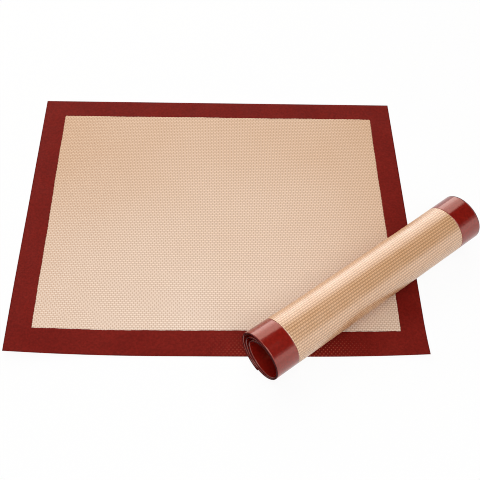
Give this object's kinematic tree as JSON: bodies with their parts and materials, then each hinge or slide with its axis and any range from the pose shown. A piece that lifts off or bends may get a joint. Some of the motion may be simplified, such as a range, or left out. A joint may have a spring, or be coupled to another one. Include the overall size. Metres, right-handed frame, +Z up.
{
  "type": "silicone baking mat",
  "caption": "Coated glass-cloth baking mats with a red frame on tan: a wide one lies flat and a narrower one, rolled up, lies slantwise over its front right corner.",
  "frame": {"origin": "middle of the flat mat's underside, on the surface that it lies on", "axes": "+X along the flat mat's long side to the right, +Y away from the front, +Z up"},
  "size_m": [0.4868, 0.393, 0.0533],
  "materials": {
    "glass_cloth": "plain-woven glass yarn, soaked with clear silicone",
    "tan_silicone": "satin, with the weave showing through as a fine brick pattern",
    "red_silicone": "satin on the flat mat, smooth and glossy on the roll"
  },
  "bodies": {
    "flat_mat": {"flat_glass_cloth": "glass_cloth", "flat_bottom_coat": "tan_silicone", "flat_top_coat": "tan_silicone", "flat_bottom_border": "red_silicone", "flat_top_border": "red_silicone", "flat_edge_seal": "red_silicone"},
    "rolled_mat": {"rolled_glass_cloth": "glass_cloth", "rolled_inner_coat": "tan_silicone", "rolled_outer_coat": "tan_silicone", "rolled_inner_border": "red_silicone", "rolled_outer_border": "red_silicone", "rolled_edge_seal": "red_silicone"}
  },
  "joints": [
    {"name": "rolled_mat_lift", "type": "slide", "parent": "flat_mat", "child": "rolled_mat", "axis": [0, 0, 1], "range_m": [0, 0.12]}
  ]
}
